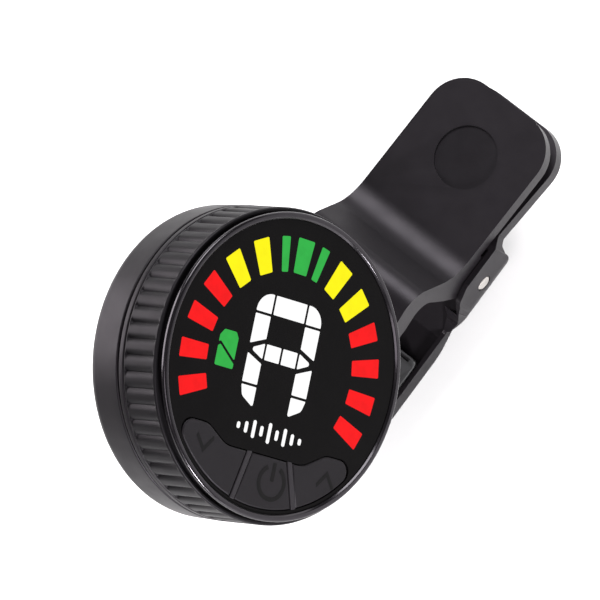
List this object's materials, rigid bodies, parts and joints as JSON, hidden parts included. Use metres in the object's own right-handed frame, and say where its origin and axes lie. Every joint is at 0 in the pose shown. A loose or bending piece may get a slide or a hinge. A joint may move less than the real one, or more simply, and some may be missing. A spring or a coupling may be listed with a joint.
{
  "type": "clip on tuner",
  "caption": "Round clip-on instrument tuner: sprung two-lever clip with rubber jaw pads, swivelling neck, tilting and spinning ribbed head with bar display and curved key strip.",
  "frame": {"origin": "the gripping face of the upper jaw pad, on the clip's middle plane, below the point 5 mm in front of which the neck's swivel axis stands", "axes": "+Z away from the gripped headstock through the upper jaw, +Y along the clip towards its thumb ends, +X along the clip's pivot pin"},
  "size_m": [0.0294, 0.0551, 0.0571],
  "materials": {
    "clip_plastic": "satin",
    "pad_rubber": "matt",
    "spring_wire": "drawn wire",
    "pin_steel": "turned",
    "neck_plastic": "satin",
    "screw_steel": "plated",
    "washer_plastic": "natural",
    "shell_plastic": "satin",
    "grip_plastic": "satin",
    "bezel_plastic": "polished lip",
    "lens_black": "polished",
    "baffle_plastic": "matt",
    "window_red": "lit",
    "window_yellow": "lit",
    "window_green": "lit",
    "window_white": "printed",
    "board_laminate": "solder mask",
    "led_body": "clear",
    "switch_body": "moulded",
    "cell_foil": "foil",
    "piezo_brass": "rolled",
    "piezo_ceramic": "silvered ceramic",
    "socket_steel": "drawn",
    "chip_body": "moulded",
    "ridge_plastic": "satin",
    "key_plastic": "satin"
  },
  "bodies": {
    "upper_jaw": {"upper_lever": "clip_plastic", "upper_jaw_pad": "pad_rubber", "torsion_spring": "spring_wire"},
    "lower_jaw": {"lower_lever": "clip_plastic", "lower_jaw_pad": "pad_rubber", "pivot_pin": "pin_steel"},
    "neck": {"neck_fork": "neck_plastic", "swivel_screw": "screw_steel", "swivel_washer": "screw_steel", "tilt_pin": "pin_steel", "tilt_washers": "washer_plastic"},
    "back_cup": {"rear_shell": "shell_plastic", "slip_ring": "washer_plastic", "hub_washer": "screw_steel", "hub_screw": "screw_steel"},
    "display": {"display_housing": "shell_plastic", "grip_ring": "grip_plastic", "bezel": "bezel_plastic", "lens": "lens_black", "light_baffle": "baffle_plastic", "red_windows": "window_red", "yellow_windows": "window_yellow", "green_windows": "window_green", "note_windows": "window_white", "charge_window": "window_green", "level_windows": "window_white", "main_board": "board_laminate", "board_screws": "screw_steel", "indicator_leds": "led_body", "key_switches": "switch_body", "battery_cell": "cell_foil", "piezo_plate": "piezo_brass", "piezo_ceramic": "piezo_ceramic", "usb_socket": "socket_steel", "controller_chip": "chip_body", "key_ridges": "ridge_plastic"},
    "key_down": {"key_down": "key_plastic"},
    "key_power": {"key_power": "key_plastic"},
    "key_up": {"key_up": "key_plastic"}
  },
  "joints": [
    {"name": "jaw_pivot", "type": "hinge", "parent": "upper_jaw", "child": "lower_jaw", "pos_m": [0, 0.018, -0.0085], "axis": [1, 0, 0], "range_deg": [-28, 4], "stiffness_Nm_per_rad": 0.01, "springref_deg": -0.43, "deforming": ["torsion_spring"]},
    {"name": "neck_swivel", "type": "hinge", "parent": "upper_jaw", "child": "neck", "pos_m": [0, -0.0048, 0], "axis": [0, 0, 1], "continuous": true},
    {"name": "head_tilt", "type": "hinge", "parent": "neck", "child": "back_cup", "pos_m": [-0.00351, -0.00658, 0.019], "axis": [-0.4524, 0.8918, 0], "range_deg": [-90, 8]},
    {"name": "display_spin", "type": "hinge", "parent": "back_cup", "child": "display", "pos_m": [0.00002, -0.00479, 0.02114], "axis": [0.7845, 0.398, 0.4756], "continuous": true},
    {"name": "press_down", "type": "slide", "parent": "display", "child": "key_down", "axis": [-0.7845, -0.398, -0.4756], "range_m": [0, 0.0004], "stiffness_N_per_m": 300, "springref_m": -0.0005},
    {"name": "press_power", "type": "slide", "parent": "display", "child": "key_power", "axis": [-0.7845, -0.398, -0.4756], "range_m": [0, 0.0004], "stiffness_N_per_m": 300, "springref_m": -0.0005},
    {"name": "press_up", "type": "slide", "parent": "display", "child": "key_up", "axis": [-0.7845, -0.398, -0.4756], "range_m": [0, 0.0004], "stiffness_N_per_m": 300, "springref_m": -0.0005}
  ]
}
